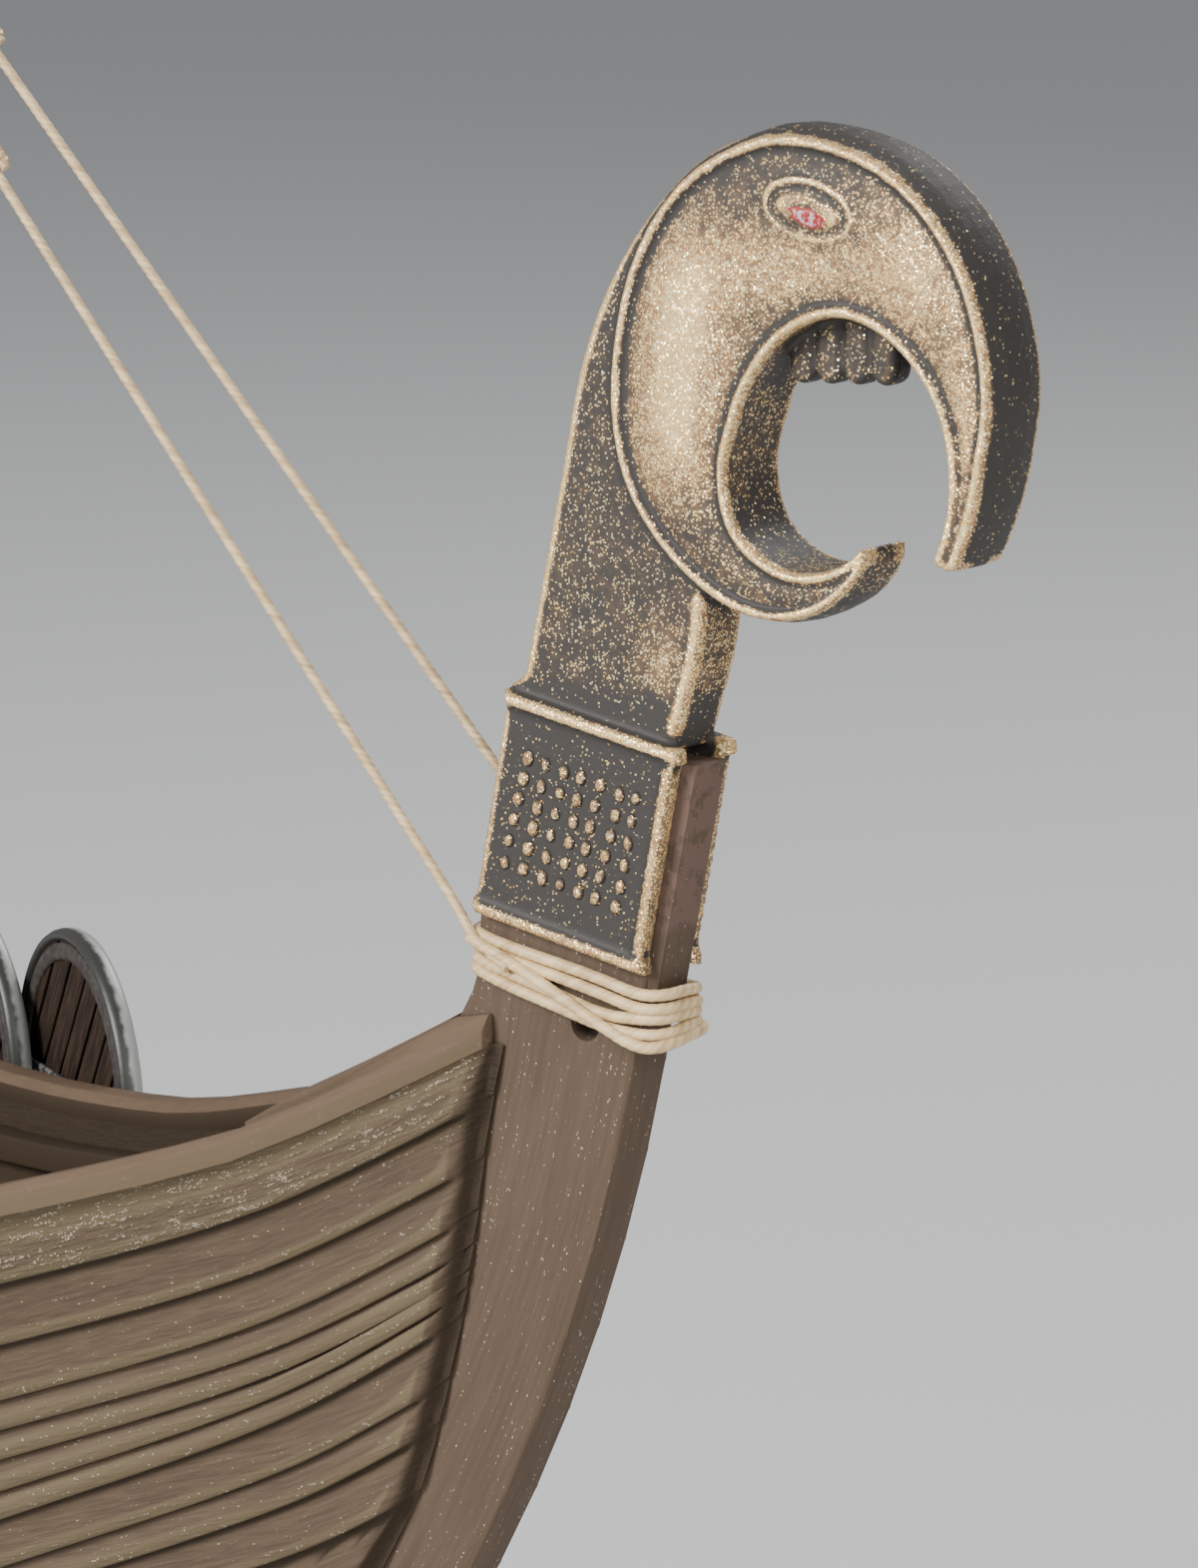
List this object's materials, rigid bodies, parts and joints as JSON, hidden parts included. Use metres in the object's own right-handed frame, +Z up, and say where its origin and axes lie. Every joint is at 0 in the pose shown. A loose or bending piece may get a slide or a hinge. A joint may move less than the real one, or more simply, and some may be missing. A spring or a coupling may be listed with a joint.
{
  "type": "bow section of a model viking ship",
  "caption": "Bow of a clinker-built model longship: curled beast figurehead on a tall stem, planked sides, rails, foredeck, round shields, thread lashing and stays.",
  "frame": {"origin": "middle of the keel's sawn end, on the centreline, at the aft face of the section", "axes": "+X forward to the bow, +Y to port, +Z up, as the ship floats"},
  "size_m": [0.1145, 0.0838, 0.1288],
  "materials": {
    "hull_paint": "matt brown paint with pale flecked wood grain",
    "rail_paint": "matt pinkish brown paint",
    "deck_paint": "matt brown paint",
    "bronze_paint": "dark paint dry-brushed with gold",
    "shield_paint": "brown boards with a pale painted rim",
    "thread": "waxed cream cotton thread"
  },
  "bodies": {
    "root": {"stem_and_keel": "hull_paint", "hull_starboard": "hull_paint", "hull_port": "hull_paint", "rail_starboard": "rail_paint", "rail_port": "rail_paint", "stringer_starboard": "rail_paint", "stringer_port": "rail_paint", "foredeck": "deck_paint", "deck_beam_1": "deck_paint", "deck_beam_2": "deck_paint", "deck_beam_3": "deck_paint", "breasthook": "rail_paint", "figurehead_starboard": "bronze_paint", "figurehead_port": "bronze_paint", "shield_starboard_1": "shield_paint", "shield_starboard_2": "shield_paint", "shield_port_1": "shield_paint", "shield_port_2": "shield_paint", "lashing": "thread", "stay_starboard": "thread", "stay_port": "thread"}
  },
  "joints": []
}
